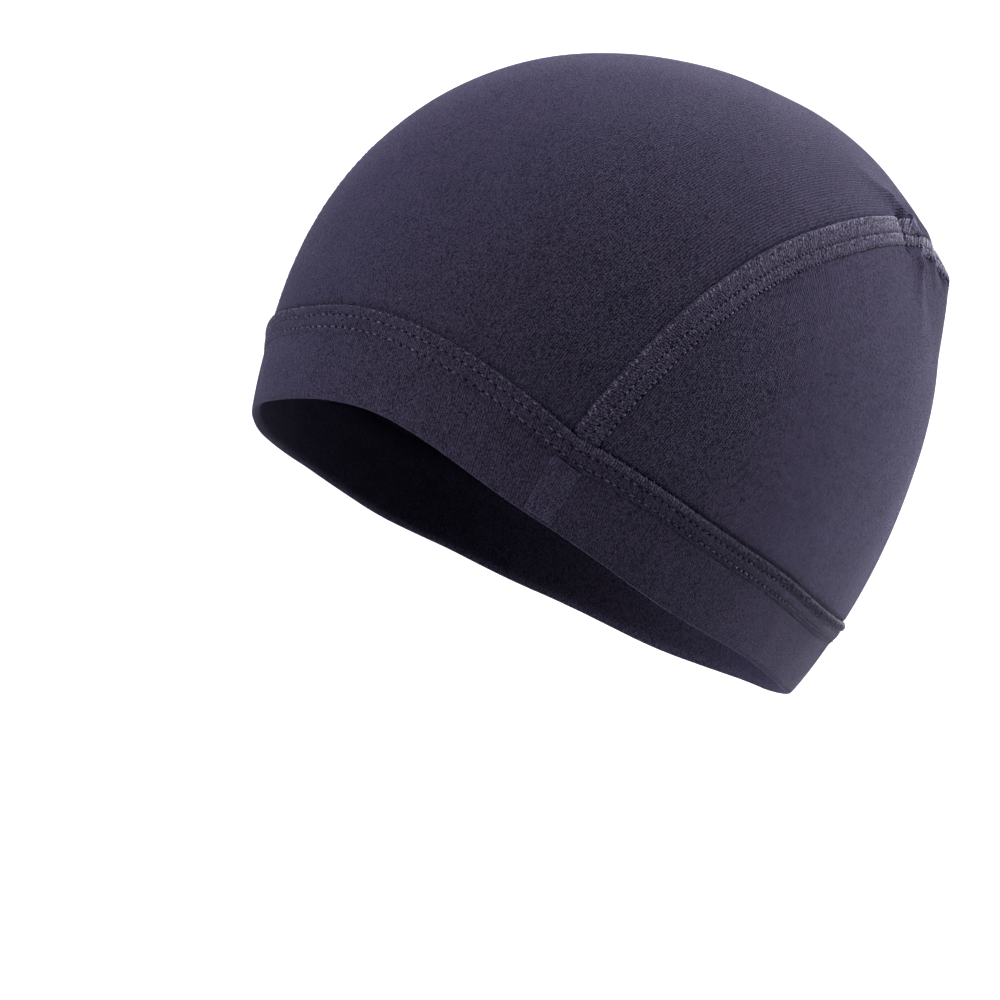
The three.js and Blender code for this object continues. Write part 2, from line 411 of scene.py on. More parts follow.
# Threads: each is a row of points with a radius at every point, and all have as many points.
def threadPiece(name, paths, radii, material, sides=6):
    paths, radii = np.concatenate(paths), np.concatenate(radii)
    threads, count = paths.shape[:2]
    tangent = np.gradient(paths, axis=1)
    tangent /= np.linalg.norm(tangent, axis=-1, keepdims=True)
    up = outward(paths - domeCentre)
    side = np.cross(tangent, up)
    side /= np.linalg.norm(side, axis=-1, keepdims=True)
    up = np.cross(side, tangent)
    angle = np.arange(sides) * 2 * np.pi / sides
    ring = np.cos(angle)[:, None] * up[:, :, None] + np.sin(angle)[:, None] * side[:, :, None]
    points = paths[:, :, None] + ring * np.broadcast_to(radii, (threads, count))[:, :, None, None]
    thread = np.arange(threads)[:, None, None] * count * sides
    here = thread + np.arange(count - 1)[None, :, None] * sides
    k = np.arange(sides)[None, None, :]
    after = (k + 1) % sides
    quads = np.stack([here + k, here + after, here + sides + after, here + sides + k], -1)
    quads = quads.reshape(-1, 4)
    first = (thread[:, 0] + np.arange(sides)[::-1]).tolist()
    last = (thread[:, 0] + (count - 1) * sides + np.arange(sides)).tolist()
    mesh = bpy.data.meshes.new(name)
    mesh.from_pydata((points.reshape(-1, 3) / 1000).tolist(), [], quads.tolist() + first + last)
    faceOutward(mesh)
    return finishPiece(mesh, material)


# Node groups

def feed(tree, node, inputs):
    # every value is a socket to link or a plain setting
    for key, value in inputs.items():
        if isinstance(value, bpy.types.NodeSocket):
            tree.links.new(value, node.inputs[key])
        else:
            node.inputs[key].default_value = value


def newNode(tree, kind, inputs=None, **settings):
    node = tree.nodes.new(kind)
    row, column = divmod(len(tree.nodes), 8)
    node.location = (200 * column - 1400, -280 * row)
    for key, value in settings.items():
        setattr(node, key, value)
    feed(tree, node, inputs or {})
    return node


def reckonIn(tree):
    def reckon(operation, *inputs, clamp=False):
        settings = {"operation": operation, "use_clamp": clamp}
        return newNode(tree, "ShaderNodeMath", dict(enumerate(inputs)), **settings).outputs[0]

    return reckon


def newGroup(name, vector, numbers, outputs):
    group = bpy.data.node_groups.new(name, "ShaderNodeTree")
    addSocket, number = group.interface.new_socket, "NodeSocketFloat"
    addSocket(vector, in_out="INPUT", socket_type="NodeSocketVector")
    for label, value in numbers.items():
        addSocket(label, in_out="INPUT", socket_type=number).default_value = value
    for label in outputs:
        addSocket(label, in_out="OUTPUT", socket_type=number)
    return group, newNode(group, "NodeGroupInput").outputs, newNode(group, "NodeGroupOutput")


knitNoises = {
    "wander": {"Scale": 0.55, "Detail": 2},  # scales are for mm of the weave
    "patch": {"Scale": 0.09, "Detail": 4},
    "fibre": {"Scale": 3.3, "Detail": 1},
    "nub": {"Scale": 2.2, "Detail": 0},
}
knit = {
    "nubStart": 0.58,  # higher is fewer
    "nubGain": 7.0,
    "slant": 0.55,  # how far the legs of a V lean, in courses
    "waveDepth": 0.64,
    "legHeight": 0.7,
    "loopHeight": 0.8,
    "fibreHeight": 0.8,
    "legTone": 0.95,
    "leastLegTone": 0.2,
    # painted shade of the knit: full tone on the loops' tops, down to the least in the grooves
    "loopShading": 1.0,
    "grooveShade": 0.13,
}


def buildJerseyGroup():
    # wales are columns of small V stitches, side by side in x of the weave and along its y
    settings = {"Wale": 0.7, "Course": 0.6, "Wander": 0.3, "Patchy": 0.5, "Fluff": 0.9, "Nubs": 0.2}
    group, given, result = newGroup("jerseyKnit", "Weave", settings, ["Height", "Tone"])
    reckon = reckonIn(group)

    def noise(kind):
        inputs = {"Vector": given["Weave"], **knitNoises[kind]}
        return newNode(group, "ShaderNodeTexNoise", inputs, noise_dimensions="2D").outputs["Fac"]

    # yarns wander a little, so that no column is ruler straight
    offset = reckon("MULTIPLY", reckon("SUBTRACT", noise("wander"), 0.5), given["Wander"])
    split = newNode(group, "ShaderNodeSeparateXYZ", {0: given["Weave"]})
    u = reckon("DIVIDE", reckon("ADD", split.outputs["X"], offset), given["Wale"])
    v = reckon("DIVIDE", reckon("ADD", split.outputs["Y"], offset), given["Course"])
    fromMiddle = reckon("SUBTRACT", reckon("FRACT", u), 0.5)
    aside = reckon("MULTIPLY", reckon("ABSOLUTE", fromMiddle), 2.0)
    slanted = reckon("MULTIPLY_ADD", aside, knit["slant"], v)
    wave = reckon("COSINE", reckon("MULTIPLY", slanted, 6.2832))  # a full turn in each course
    wave = reckon("MULTIPLY_ADD", wave, 0.5, 0.5)
    wave = reckon("MULTIPLY_ADD", wave, knit["waveDepth"], 1 - knit["waveDepth"])
    ridge = reckon("SUBTRACT", 1.0, reckon("MULTIPLY", aside, aside))
    loop = reckon("MULTIPLY", ridge, wave)
    # each leg of a stitch catches the light in its own way
    leg = {"X": reckon("FLOOR", reckon("MULTIPLY", u, 2.0)), "Y": reckon("FLOOR", slanted)}
    leg = {"Vector": newNode(group, "ShaderNodeCombineXYZ", leg).outputs[0]}
    chance = newNode(group, "ShaderNodeTexWhiteNoise", leg, noise_dimensions="2D").outputs["Value"]
    # loose fibres, finer than a stitch, and small nubs where a fibre end stands out
    fluff = reckon("SUBTRACT", noise("fibre"), 0.5)
    nub = reckon("SUBTRACT", noise("nub"), knit["nubStart"])
    nub = reckon("MULTIPLY", reckon("MULTIPLY", nub, knit["nubGain"], clamp=True), given["Nubs"])
    height = reckon("MULTIPLY_ADD", loop, knit["loopHeight"], nub)
    height = reckon("MULTIPLY_ADD", chance, knit["legHeight"], height)
    height = reckon("MULTIPLY_ADD", fluff, knit["fibreHeight"], height)
    lit = reckon("MULTIPLY_ADD", chance, knit["legTone"], knit["leastLegTone"])
    # the loop paints shade into the tone, darker in the grooves between wales and between courses
    tone = reckon("MULTIPLY_ADD", loop, knit["loopShading"], knit["grooveShade"])
    tone = reckon("MULTIPLY", tone, lit)
    patchy = reckon("SUBTRACT", noise("patch"), 0.5)
    tone = reckon("MULTIPLY_ADD", patchy, given["Patchy"], tone)
    tone = reckon("MULTIPLY_ADD", fluff, given["Fluff"], tone)
    feed(group, result, {"Height": height, "Tone": reckon("ADD", tone, nub, clamp=True)})
    return group


def buildLintGroup():
    # a few pale specks of fluff, wherever the point nearest to them lies close by
    settings = {"Spacing": 12.0, "Size": 0.3}
    group, given, result = newGroup("lintSpecks", "Place", settings, ["Mask"])
    reckon = reckonIn(group)
    inputs = {"Vector": given["Place"], "Scale": reckon("DIVIDE", 1000.0, given["Spacing"])}
    cells = newNode(group, "ShaderNodeTexVoronoi", inputs, voronoi_dimensions="3D", feature="F1")
    away = reckon("MULTIPLY", cells.outputs["Distance"], given["Spacing"])
    feed(group, result, {"Mask": reckon("LESS_THAN", away, given["Size"])})
    return group


def buildNeedleGroup():
    # small holes in a row along x, at a given y of the weave
    settings = {"Row": 0.0, "Pitch": 2.0, "Length": 0.4, "Width": 0.25}
    group, given, result = newGroup("needleHoles", "Weave", settings, ["Mask"])
    reckon = reckonIn(group)
    split = newNode(group, "ShaderNodeSeparateXYZ", {0: given["Weave"]})
    turns = reckon("DIVIDE", split.outputs["X"], given["Pitch"])
    nearest = reckon("SUBTRACT", turns, reckon("ROUND", turns))
    along = reckon("DIVIDE", reckon("MULTIPLY", nearest, given["Pitch"]), given["Length"])
    aside = reckon("DIVIDE", reckon("SUBTRACT", split.outputs["Y"], given["Row"]), given["Width"])
    squares = reckon("MULTIPLY_ADD", along, along, reckon("MULTIPLY", aside, aside))
    feed(group, result, {"Mask": reckon("SUBTRACT", 1.0, squares, clamp=True)})
    return group


jerseyGroup = buildJerseyGroup()
lintGroup = buildLintGroup()
needleGroup = buildNeedleGroup()


def mixed(tree, factor, a, b):
    inputs = {"Factor": factor, "A": a, "B": b}
    return newNode(tree, "ShaderNodeMix", inputs, data_type="RGBA").outputs["Result"]


def settingsOf(look, *keys):
    # "sheenWeight" in a look is the socket "Sheen Weight"
    return {"".join(" " + c if c.isupper() else c for c in key).title(): look[key] for key in keys}


def newMaterial(name, look):
    material = bpy.data.materials.new(name)
    material.use_nodes = True
    tree = material.node_tree
    shader = tree.nodes["Principled BSDF"]
    settings = settingsOf(look, "sheenWeight", "sheenRoughness")
    tint = (*look["sheenTint"], 1)
    feed(tree, shader, {**settings, "Sheen Tint": tint, "Specular IOR Level": look["specular"]})
    return material, tree, shader


def newGroupNode(tree, group, inputs):
    return newNode(tree, "ShaderNodeGroup", inputs, node_tree=group).outputs


def clothMaterial(name, look):
    material, tree, shader = newMaterial(name, look)
    weave = newNode(tree, "ShaderNodeUVMap", uv_map="weave").outputs[0]
    settings = settingsOf(look, "wale", "course", "wander", "patchy", "fluff", "nubs")
    jersey = newGroupNode(tree, jerseyGroup, {"Weave": weave, **settings})
    tone, height = jersey["Tone"], jersey["Height"]
    # the tone carries painted shade in the knit's grooves besides its random tone per leg, patches
    # and fibres
    colour = mixed(tree, tone, (*look["dark"], 1), (*look["light"], 1))
    for row in look["needleRows"]:
        # the needle leaves a hole between two stitches, painted dark as the shade inside it and
        # sunk by the bump
        settings = settingsOf(row, "row", "pitch", "length", "width")
        hole = newGroupNode(tree, needleGroup, {"Weave": weave, **settings})["Mask"]
        colour = mixed(tree, hole, colour, (*look["hole"], 1))
        height = reckonIn(tree)("MULTIPLY_ADD", hole, -look["holeDepth"], height)
    place = newNode(tree, "ShaderNodeTexCoord").outputs["Object"]
    speck = {"Place": place, "Spacing": look["lintSpacing"], "Size": look["lintSize"]}
    speck = newGroupNode(tree, lintGroup, speck)["Mask"]
    colour = mixed(tree, speck, colour, (*look["lint"], 1))
    middle, uneven = look["roughness"], look["unevenness"]
    rough = {"Value": tone, "To Min": middle + uneven, "To Max": middle - uneven}
    rough = newNode(tree, "ShaderNodeMapRange", rough).outputs["Result"]
    bump = {"Height": height, "Strength": look["bump"], "Distance": look["loopHeight"] / 1000}
    bump = newNode(tree, "ShaderNodeBump", bump).outputs["Normal"]
    feed(tree, shader, {"Base Color": colour, "Roughness": rough, "Normal": bump})
    return material


jerseyLook = {
    "wale": 0.52,  # mm between the columns of stitches
    "course": 0.37,
    "wander": 0.4,
    "patchy": 0.14,
    "fluff": 1.0,
    "nubs": 0.3,
    "dark": (0.006, 0.005, 0.0105),
    "light": (0.121, 0.104, 0.186),
    # painted shade inside the needle holes
    "hole": (0.002, 0.0018, 0.003),
    "holeDepth": 2.5,  # in loop heights
    "needleRows": [],
    "lint": (0.42, 0.40, 0.50),
    "lintSpacing": 14.0,
    "lintSize": 0.17,
    "roughness": 0.7,
    "unevenness": 0.08,
    "loopHeight": 0.24,
    "bump": 1.0,
    "sheenWeight": 0.45,
    "sheenRoughness": 0.13,
    "sheenTint": (0.5, 0.45, 0.92),
    "specular": 0.012,
}
sideLook = {**jerseyLook, "wale": 0.65, "course": 0.42}

# rows of stitches along the strip and along the welt, in mm
stitchRows = [
    {"offset": 0.8, "length": 0.8, "radius": 0.22},
    {"offset": 3.8, "length": 1.1, "radius": 0.22},
]
stitchPitch = 1.95
weltRows = [19.6, 16.85]  # mm above the rim
weltPitch = ringArc[-1] / int(ringArc[-1] / 2.1)

stripLook = {
    **jerseyLook,
    "wale": 0.8,
    "course": 0.5,
    "wander": 0.7,
    "fluff": 2.0,
    "nubs": 0.8,
    "light": (0.15, 0.129, 0.23),
    "loopHeight": 0.3,
    "sheenWeight": 0.15,
    "needleRows": [
        {"row": stitchRows[0]["offset"], "pitch": stitchPitch, "length": 0.5, "width": 0.34},
        {"row": stitchRows[1]["offset"] - 0.2, "pitch": stitchPitch, "length": 0.38, "width": 0.4},
    ],
}
hemLook = {**jerseyLook, "wale": 0.54, "course": 0.38}
bandSeamLook = {**hemLook, "light": (0.165, 0.142, 0.26), "nubs": 0.45}
weltHole = {"pitch": weltPitch, "length": 0.42, "width": 0.34}
weltLook = {**hemLook, "needleRows": [{"row": row, **weltHole} for row in weltRows]}

centreCloth = clothMaterial("centreJersey", jerseyLook)
sideCloth = clothMaterial("sideJersey", sideLook)
stripCloth = clothMaterial("overlockedSeam", stripLook)
hemCloth = clothMaterial("hemJersey", hemLook)
weltCloth = clothMaterial("weltJersey", weltLook)
bandSeamCloth = clothMaterial("bandSeamJersey", bandSeamLook)


def threadMaterial(name, look):
    material, tree, shader = newMaterial(name, look)
    place = newNode(tree, "ShaderNodeTexCoord").outputs["Object"]
    fibres = {"Vector": place, "Scale": look["fibreScale"]}
    fibres = newNode(tree, "ShaderNodeTexNoise", fibres).outputs["Fac"]
    least, most = look["spots"]
    spots = {"Value": fibres, "From Min": least, "From Max": most}
    spots = newNode(tree, "ShaderNodeMapRange", spots).outputs["Result"]
    colour = mixed(tree, spots, (*look["dark"], 1), (*look["light"], 1))
    feed(tree, shader, {"Base Color": colour, "Roughness": look["roughness"]})
    return material


threadLook = {
    "dark": (0.02, 0.017, 0.03),
    "light": (0.2, 0.18, 0.28),
    "fibreScale": 1900.0,
    "spots": (0.38, 0.64),  # noise levels of the darkest and the lightest spots
    "roughness": 0.5,
    "sheenWeight": 0.25,
    "sheenRoughness": 0.2,
    "sheenTint": (0.55, 0.5, 0.92),
    "specular": 0.12,
}
sewingThread = threadMaterial("sewingThread", threadLook)
stripThread = threadMaterial("overlockThread", {**threadLook, "light": (0.3, 0.27, 0.42)})
edgeLook = {**threadLook, "dark": (0.012, 0.01, 0.02), "light": (0.16, 0.14, 0.23)}
edgeThread = threadMaterial("edgeThread", edgeLook)
print("materials: knit, seam, hem and thread")


# Panels

panels = {
    "rowStep": 1.15,  # degrees over the crown
    "fineStep": 0.42,
    "columns": 74,
    "columnBias": 0.25,  # columns are closer together at the seams
    "sideRows": 52,
    "sideRowBias": 0.6,
    "sideTip": 0.004,  # the points of a side panel are blunt by this share
    "sideGrain": 25,  # degrees; its columns of stitches stand square to the rim
    "weaveHalf": 51,  # mm of weave from the middle line to a seam
    "seamRoll": 0.55,  # mm that the cloth turns in at a seam
    "sideRoll": 0.165,
    "hemRoll": 0.3,
    "rollWidth": 1.3,
    "pucker": 0.1,
    "puckerLength": 5.2,
    "puckerWidth": 3.0,
    "archLength": 1.15,  # mm along the cloth for each mm straight across
    "seamGap": 0.08,
}


def rollIn(distance, depth):
    return -depth * np.clip(1 - distance / panels["rollWidth"], 0, 1) ** 2


def puckers(along, distance):
    # the seam gathers the jersey a little beside it
    turns = along * 2 * np.pi / panels["puckerLength"]
    uneven = np.sin(turns + 1.2 * np.sin(along * 0.19))
    return panels["pucker"] * uneven * np.exp(-distance / panels["puckerWidth"])


def sheetBetween(name, outer, inner, weave, edges=3):
    # outer and inner are rows x points x 3, with a few points between them at both long edges
    def between(a, b):
        t = np.linspace(0, 1, edges + 2)[1:-1, None]
        return a[:, None] * (1 - t) + b[:, None] * t

    right, left = between(outer[:, -1], inner[:, -1]), between(inner[:, 0], outer[:, 0])
    loops = np.concatenate([outer, right, inner[:, ::-1], left], 1)
    right, left = (np.repeat(weave[:, end], edges, 1) for end in (slice(-1, None), slice(1)))
    weave = np.concatenate([weave, right, weave[:, ::-1], left, weave[:, :1]], 1)
    return clothThrough(name, loops, weave)


def buildPanel(name, node, material, p, out, weave):
    mesh = sheetBetween(name, onCloth(p, out), onCloth(p, out - cloth["panel"]), weave)
    return finishPiece(mesh, material, node)


def buildCentrePanel():
    share = np.linspace(-1, 1, panels["columns"] + 1)
    share = share * (1 + panels["columnBias"] * (1 - share * share))

    def offset(over):
        return -upperHalf(over) - panels["seamGap"]

    leftEdge, rightEdge = besideSeam(1, offset), besideSeam(-1, offset)

    def acrossAt(over):
        return rightEdge(over) * (1 - share) / 2 + leftEdge(over) * (1 + share) / 2

    start, end = panelEnds(acrossAt, share.shape)
    over = start + (end - start) * stations(start[0], end[0], panels)[:, None]
    across = acrossAt(over)
    seamDistance = np.minimum(leftEdge(over) - across, across - rightEdge(over))
    seamDistance = seamDistance * panels["archLength"]
    out = rollIn(seamDistance, panels["seamRoll"] * seamDepth(over))
    out = out + puckers(crownLength(over), seamDistance)
    weave = np.stack([across * panels["weaveHalf"] / leftSeam(over), crownLength(over)], -1)
    p = overCrown(over, across)
    return buildPanel("centrePanel", "centre_panel", centreCloth, p, out, weave)


def buildSidePanel(side, label):
    edge = besideSeam(side, stripWidth / 2 + panels["seamGap"])
    start, end = (float(over) for over in panelEnds(edge, ()))
    turnStart, turnEnd = (float(turnOf(overCrown(over, edge(over)))) for over in (start, end))
    tip, bias = panels["sideTip"], panels["sideRowBias"]
    along = tip + (1 - 2 * tip) * stations(start, end, panels)
    over = start + (end - start) * along
    upper = overCrown(over, edge(over))
    turn = turnStart + (turnEnd - turnStart) * along
    lower = roundDome(turn, panelFoot(turn))
    down = np.linspace(0, 1, panels["sideRows"] + 1)
    down = (down + down * down * (1 + bias - bias * down)) / 2  # closer together at the seam
    p = ontoDome(upper[:, None] * (1 - down[:, None]) + lower[:, None] * down[:, None])
    seamDistance = np.linalg.norm(p - upper[:, None], axis=-1)
    hemDistance = np.linalg.norm(p - lower[:, None], axis=-1)
    out = rollIn(seamDistance, panels["sideRoll"]) + rollIn(hemDistance, panels["hemRoll"])
    out = out + puckers(crownLength(over)[:, None], seamDistance)
    grain = np.radians(panels["sideGrain"])
    length, height = side * ringLength(turnOf(p)), p[..., 2]
    leaning = length * np.cos(grain) - height * np.sin(grain)
    upright = length * np.sin(grain) + height * np.cos(grain)
    weave = np.stack([side * leaning, upright], -1)
    node = "side_panel_" + label.lower()
    return buildPanel("sidePanel" + label, node, sideCloth, p, out, weave)


bothSides = ((1, "Left"), (-1, "Right"))
centrePanel = buildCentrePanel()
sidePanels = [buildSidePanel(side, label) for side, label in bothSides]
print("panels: centre and two sides")


# Seam strips

strips = {
    "rowStep": 0.75,
    "fineStep": 0.4,
    "faceColumns": 17,
    "underColumns": 23,
    "upperBand": 0.44,  # mm that each half of the strip stands proud
    "lowerBand": 0.34,
    "cushion": 0.04,
    "middle": 0.8,  # where the needle line divides it, across from its own middle line
    "groove": 0.18,
    "grooveWidth": 0.4,
    "upperEdge": -0.5,  # the ditch towards the centre panel
    "upperRound": 0.6,
    "lowerEdge": 0.0,
    "lowerRound": 0.5,
    "flange": 1.4,  # tape that reaches under the panels
    "underside": -1.36,
    "endGap": (0.6, 0.8),  # mm at the front and the back that have no threads
    "wrapPitch": 0.9,
    "wrapSunk": 0.22,  # mm that the threads lie deeper above the forehead
    "sunkUpTo": (18, 62),  # degrees over the crown where that ends
    "leastProud": 0.12,  # stitches never lie lower than this
}

# one stitch or thread from end to end; out is mm from the cloth, thick a share of its radius
stripStitch = {
    "along": np.array([-0.5, -0.3, 0, 0.3, 0.5]),
    "out": np.array([-0.26, 0.03, 0.1, 0.03, -0.26]),
    "thick": np.array([0.4, 0.95, 1, 0.95, 0.4]),
}
stripWrap = {
    "out": np.array([-0.2, -0.02, 0.0, 0.02, 0.02, 0.03, 0.09, -0.02]),
    "sunk": np.array([0, 1, 1, 1, 1, 0.9, 0.6, 0.5]),
    "thick": np.array([0.5, 0.9, 1, 1, 1, 1.05, 1.3, 0.9]),
}

# overlock threads that slant over the upper and the lower half
wrapRows = [
    {"foot": 0.62, "top": -stripWidth / 2 + 0.12, "sweep": 2.6, "radius": 0.19},
    {"foot": 3.55, "top": 1.05, "sweep": 1.5, "radius": 0.152},
]


def stripOut(offset, over):
    upper, lower, middle = upperHalf(over), stripWidth / 2, strips["middle"]

    def cushioned(level, share):
        arch = np.sin(np.pi * np.clip(share, 0, 1))
        return level - strips["cushion"] + strips["cushion"] * arch

    def roundedOff(out, level, share):
        return level + (out - level) * np.sqrt(1 - (1 - np.clip(share, 0, 1)) ** 2)

    onUpper = cushioned(strips["upperBand"], (offset + upper) / (middle + upper))
    onLower = cushioned(strips["lowerBand"], (offset - middle) / (lower - middle))
    out = np.where(offset < middle, onUpper, onLower)
    out = out - strips["groove"] * np.exp(-((offset - middle) / strips["grooveWidth"]) ** 2)
    out = roundedOff(out, strips["upperEdge"], (offset + upper) / strips["upperRound"])
    out = roundedOff(out, strips["lowerEdge"], (lower - offset) / strips["lowerRound"])
    return out * seamDepth(over)


def onStrip(side, offset, over, out):
    return onCloth(overCrown(over, besideSeam(side, offset)(over)), out)


def buildSeamStrip(side, label):
    half, under = stripWidth / 2, stripWidth / 2 + strips["flange"]
    edge = half - np.array([0, 0.06, 0.16, 0.3, 0.5, 0.75])
    face = np.r_[-edge, np.linspace(1 - half, half - 1, strips["faceColumns"]), edge[::-1]]
    below = np.linspace(under, -under, strips["underColumns"])
    below = np.r_[half, half, under, below, -under, -half, -half]
    belowOut = np.full(strips["underColumns"], strips["underside"])
    belowOut = np.r_[-0.5, -1.04, -1.06, belowOut, -1.06, -1.04, -0.5]
    start, end = (float(over) for over in panelEnds(besideSeam(side, 0), ()))
    along = stations(start, end, strips)[:, None]
    offsets = np.r_[face, below]
    first, last = panelEnds(besideSeam(side, offsets), offsets.shape)
    over = first + (last - first) * along
    offsets = np.broadcast_to(offsets, over.shape).copy()
    onFace = slice(0, len(face))
    # the upper half narrows with its edge
    offsets[:, onFace] *= np.where(face < 0, upperHalf(over[:, onFace]) / half, 1)
    faceOut = stripOut(offsets[:, onFace], over[:, onFace])
    out = np.concatenate([faceOut, np.broadcast_to(belowOut, (len(along), len(below)))], 1)
    loops = onStrip(side, offsets, over, out)
    weave = np.stack([crownLength(over), offsets], -1)
    weave = np.concatenate([weave, weave[:, :1]], 1)
    mesh = clothThrough("seamStrip" + label, loops, weave)
    return finishPiece(mesh, stripCloth, "seam_strip_" + label.lower())


def buildStripThreads(side, label):
    random = np.random.default_rng(11 + side)
    low, high = (crownLength(float(over)) for over in panelEnds(besideSeam(side, 0), ()))
    low, high = low + strips["endGap"][0], high - strips["endGap"][1]

    # needle stitches: short, dipping into the cloth at both ends
    paths, radii = [], []
    for row in stitchRows:
        middles = np.arange(int(low / stitchPitch) + 1, int(high / stitchPitch)) + 0.5
        middles, count = middles[:, None] * stitchPitch, len(middles)
        reach = stripStitch["along"] * row["length"] * draw(random, 0.85, 1.15, count)
        over = overAtLength(middles + reach)
        offset = row["offset"] + draw(random, -0.1, 0.1, count) + 0 * over
        depth = seamDepth(over)
        out = np.maximum(stripOut(offset, over), strips["leastProud"] * depth)
        paths.append(onStrip(side, offset, over, out + stripStitch["out"] * depth))
        radii.append(stripStitch["thick"] * row["radius"] * draw(random, 0.75, 1.1, count))
    name, slotName = "stripStitches" + label, "overlocked_seam"
    stitches = threadPiece(name, paths, radii, sewingThread)

    share = np.linspace(0, 1, len(stripWrap["out"]))
    paths, radii = [], []
    for row in wrapRows:
        feet = np.arange(low, high - row["sweep"], strips["wrapPitch"])
        count = len(feet)
        feet = feet[:, None] + draw(random, -0.3, 0.3, count)
        swept = row["sweep"] * draw(random, 0.75, 1.25, count)
        over = overAtLength(feet + swept * share ** draw(random, 0.8, 1.5, count))
        top = row["top"] + (stripWidth / 2 - upperHalf(over) if row["top"] < 0 else 0)
        offset = row["foot"] + (top - row["foot"]) * share + draw(random, -0.15, 0.15, count)
        # they lie deep in the seam above the forehead, and loose further up, each as it comes
        sunk = strips["wrapSunk"] * (1 - softStep(overAtLength(feet), *strips["sunkUpTo"]))
        sunk = sunk + random.uniform(0, 0.1, (count, len(share)))
        lift = (stripWrap["out"] - stripWrap["sunk"] * sunk) * seamDepth(over)
        paths.append(onStrip(side, offset, over, stripOut(offset, over) + lift))
        radii.append(row["radius"] * stripWrap["thick"] * draw(random, 0.65, 1.1, count))
    name = "stripOverlock" + label
    return [stitches, threadPiece(name, paths, radii, stripThread, sides=5)]


seamStrips = [buildSeamStrip(side, label) for side, label in bothSides]
stripThreads = buildStripThreads(1, "Left") + buildStripThreads(-1, "Right")
print("seams: two strips with their stitching")


# Hem, welt and the seams that run down over them

hem = {
    "ringSteps": 460,
    "layer": 0.9,
    "facingTop": 23.4,  # how high the turned-up layer reaches inside
    "ripple": 0.08,
}


def ringTurns(steps):
    # evenly spaced along the rim, from the nape round over the wearer's left
    return turnAtLength(np.linspace(ringArc[0], ringArc[-1], steps + 1))


def straight(low, high, steps, out):
    # part of a section, as points at even heights above the rim
    return [(height, out) for height in np.linspace(low, high, steps)]


def ringPiece(name, section, steps, outAt):
    # section is a closed loop of heights above the rim, each with how far out it is
    turns = ringTurns(steps)
    heights, outs = np.array(section, float).T
    p = bandPoint(turns[:-1, None], heights)
    loops = onCloth(p, outs + outAt(turns[:-1, None], heights, outs))
    weave = np.broadcast_arrays(ringLength(turns)[:, None], np.r_[heights, heights[:1]])
    return clothThrough(name, loops, np.stack(weave, -1), isRing=True)


def hemWaves(turn, height, out):
    # slight upright tension lines, and a rim that isn't ruler straight
    along = ringLength(turn)
    waves = np.sin(along * 0.42 + 0.8 * np.sin(along * 0.05)) * np.cos(along * 0.071 + 1)
    return hem["ripple"] * waves * np.clip(height / 8, 0.2, 1) + 0 * out


def buildRimBand():
    foot, top, layer, thick = weltFoot, hem["facingTop"], hem["layer"], cloth["band"]
    section = straight(foot - 0.3, 1.7, 15, 0)
    # round the fold at the rim
    section += [(0.95, -0.03), (0.45, -0.1), (0.15, -0.25), (0.02, -0.5)]
    section += [(0.12, -0.8), (0.4, -1.2), (0.75, -1.55), (1.15, -1.82)]
    section += straight(1.6, foot - 0.6, 14, -thick)
    # up the inside as far as the facing goes, and down behind it
    section += [(foot, -2.05), (foot + 0.8, -2.3), (foot + 3, -2.36), (foot + 6, -2.3)]
    section += [(top - 0.9, -1.8), (top - 0.2, -1.5), (top, -1.32), (top - 0.15, -1.2)]
    section += [(top - 0.7, -1.14), (foot + 6.7, -1.3), (foot + 6.3, -1.98)]
    section += [(foot + 0.8, -1.98), (foot, -1.6)]
    # between the two layers, down to the fold and up again
    section += straight(foot - 0.6, 2.4, 8, layer - thick)
    section += [(1.7, -1.05), (1.5, -1.0), (1.7, -0.95)]
    section += straight(2.4, foot - 0.6, 8, -layer)
    section += [(foot + 0.05, -0.8), (foot + 0.1, -0.4), (foot, -0.12)]
    mesh = ringPiece("rimBand", section, hem["ringSteps"], hemWaves)
    return finishPiece(mesh, hemCloth, "rim_band")


welt = {
    "ringSteps": 690,
    "rowStep": 0.17,  # mm
    "flatter": 0.38,  # share that it loses over the forehead
    "flatMiddle": 2.0,  # degrees round the head
    "flatReach": (14.0, 38.0),
    "stitchLength": 1.3,
    "stitchRadius": 0.21,
    "bite": 0.26,
    "biteWidth": 0.33,
    "edgeRow": 21.62,
    "edgeMiddle": -8.0,
    "edgeReach": 32.0,
    "wrapPitch": 0.64,  # overlock threads over the raw edge
    "wrapRadius": 0.15,
    "wrapSunk": 0.34,
    "wrapTop": 21.93,  # mm above the rim; higher up they leave the welt's own curve
    "sunkReach": (17, 27),
}

# how far the welt stands out, by height above the rim
weltTable = {
    "height": [15.62, 16.0, 16.5, 16.85, 17.2, 17.9, 18.6, 19.2]
    + [19.6, 20.0, 20.5, 21.1, 21.6, 21.9, 22.0],
    "out": [0.0, 0.12, 0.2, 0.18, 0.36, 0.58, 0.66, 0.6, 0.4, 0.6, 0.86, 0.95, 0.8, 0.42, 0.1],
}
weltOut = curveThrough(weltTable, "height", "out")

